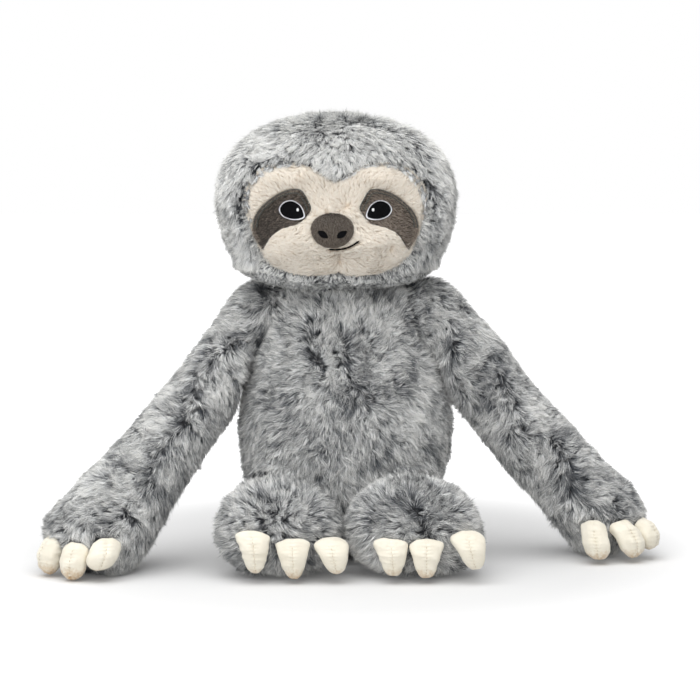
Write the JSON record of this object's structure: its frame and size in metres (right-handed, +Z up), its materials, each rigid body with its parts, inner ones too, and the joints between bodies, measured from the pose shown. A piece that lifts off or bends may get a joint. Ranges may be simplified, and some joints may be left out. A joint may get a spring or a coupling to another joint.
{
  "type": "plush sloth",
  "caption": "Seated plush sloth with long fur, a short-pile face, long hanging arms, splayed feet and padded cloth claws.",
  "frame": {"origin": "on the floor under the middle of the seat", "axes": "+X towards the viewer's right across both arms, +Y away from the face, +Z up"},
  "size_m": [0.3839, 0.1676, 0.2805],
  "materials": {
    "long_fur": "matte",
    "stuffing": "matte",
    "pellet_bag_cloth": "matte",
    "seam_thread": "matte",
    "face_plush": "matte",
    "eye_patch_plush": "matte",
    "dark_embroidery": "satin",
    "grey_embroidery": "satin",
    "white_embroidery": "satin",
    "nose_velvet": "matte",
    "claw_twill": "matte"
  },
  "bodies": {
    "torso": {"body_cover": "long_fur", "body_stuffing": "stuffing", "seat_pellet_bag": "pellet_bag_cloth"},
    "neck_ring": {"neck_seam": "seam_thread"},
    "head": {"head_cover": "long_fur", "head_stuffing": "stuffing", "face_panel": "face_plush", "eye_patch_l": "eye_patch_plush", "eye_patch_r": "eye_patch_plush", "eye_l": "dark_embroidery", "eye_r": "dark_embroidery", "eye_rim_l": "grey_embroidery", "eye_rim_r": "grey_embroidery", "eye_glint_l": "white_embroidery", "eye_glint_r": "white_embroidery", "nose": "nose_velvet", "nostril_l": "dark_embroidery", "nostril_r": "dark_embroidery", "mouth_stitch": "dark_embroidery"},
    "shoulder_ring_l": {"shoulder_seam_l": "seam_thread"},
    "arm_l": {"arm_cover_l": "long_fur", "arm_stuffing_l": "stuffing", "hand_claw_l1": "claw_twill", "hand_claw_l2": "claw_twill", "hand_claw_l3": "claw_twill"},
    "shoulder_ring_r": {"shoulder_seam_r": "seam_thread"},
    "arm_r": {"arm_cover_r": "long_fur", "arm_stuffing_r": "stuffing", "hand_claw_r1": "claw_twill", "hand_claw_r2": "claw_twill", "hand_claw_r3": "claw_twill"},
    "hip_ring_l": {"hip_seam_l": "seam_thread"},
    "leg_l": {"leg_cover_l": "long_fur", "leg_stuffing_l": "stuffing", "foot_claw_l1": "claw_twill", "foot_claw_l2": "claw_twill", "foot_claw_l3": "claw_twill"},
    "hip_ring_r": {"hip_seam_r": "seam_thread"},
    "leg_r": {"leg_cover_r": "long_fur", "leg_stuffing_r": "stuffing", "foot_claw_r1": "claw_twill", "foot_claw_r2": "claw_twill", "foot_claw_r3": "claw_twill"}
  },
  "joints": [
    {"name": "head_turn", "type": "hinge", "parent": "torso", "child": "neck_ring", "pos_m": [-0.0047, 0.004, 0.184], "axis": [0, 0, 1], "range_deg": [-25, 25], "stiffness_Nm_per_rad": 0.2},
    {"name": "head_nod", "type": "hinge", "parent": "neck_ring", "child": "head", "pos_m": [-0.0047, 0.004, 0.184], "axis": [1, 0, 0], "range_deg": [-8, 10], "stiffness_Nm_per_rad": 0.3},
    {"name": "shoulder_swing_l", "type": "hinge", "parent": "torso", "child": "shoulder_ring_l", "pos_m": [-0.054, 0, 0.148], "axis": [-1, 0, 0], "range_deg": [-20, 75]},
    {"name": "shoulder_lift_l", "type": "hinge", "parent": "shoulder_ring_l", "child": "arm_l", "pos_m": [-0.054, 0, 0.148], "axis": [0, 0.9083, -0.4184], "range_deg": [0, 70]},
    {"name": "shoulder_swing_r", "type": "hinge", "parent": "torso", "child": "shoulder_ring_r", "pos_m": [0.054, 0, 0.148], "axis": [-1, 0, 0], "range_deg": [-20, 75]},
    {"name": "shoulder_lift_r", "type": "hinge", "parent": "shoulder_ring_r", "child": "arm_r", "pos_m": [0.054, 0, 0.148], "axis": [0, -0.9831, 0.1828], "range_deg": [0, 70]},
    {"name": "hip_roll_l", "type": "hinge", "parent": "torso", "child": "hip_ring_l", "pos_m": [-0.041, -0.038, 0.03], "axis": [0, -1, 0], "range_deg": [-15, 15]},
    {"name": "hip_lift_l", "type": "hinge", "parent": "hip_ring_l", "child": "leg_l", "pos_m": [-0.041, -0.038, 0.03], "axis": [-1, 0, 0], "range_deg": [-30, 15]},
    {"name": "hip_roll_r", "type": "hinge", "parent": "torso", "child": "hip_ring_r", "pos_m": [0.041, -0.038, 0.03], "axis": [0, -1, 0], "range_deg": [-15, 15]},
    {"name": "hip_lift_r", "type": "hinge", "parent": "hip_ring_r", "child": "leg_r", "pos_m": [0.041, -0.038, 0.03], "axis": [-1, 0, 0], "range_deg": [-30, 15]}
  ]
}
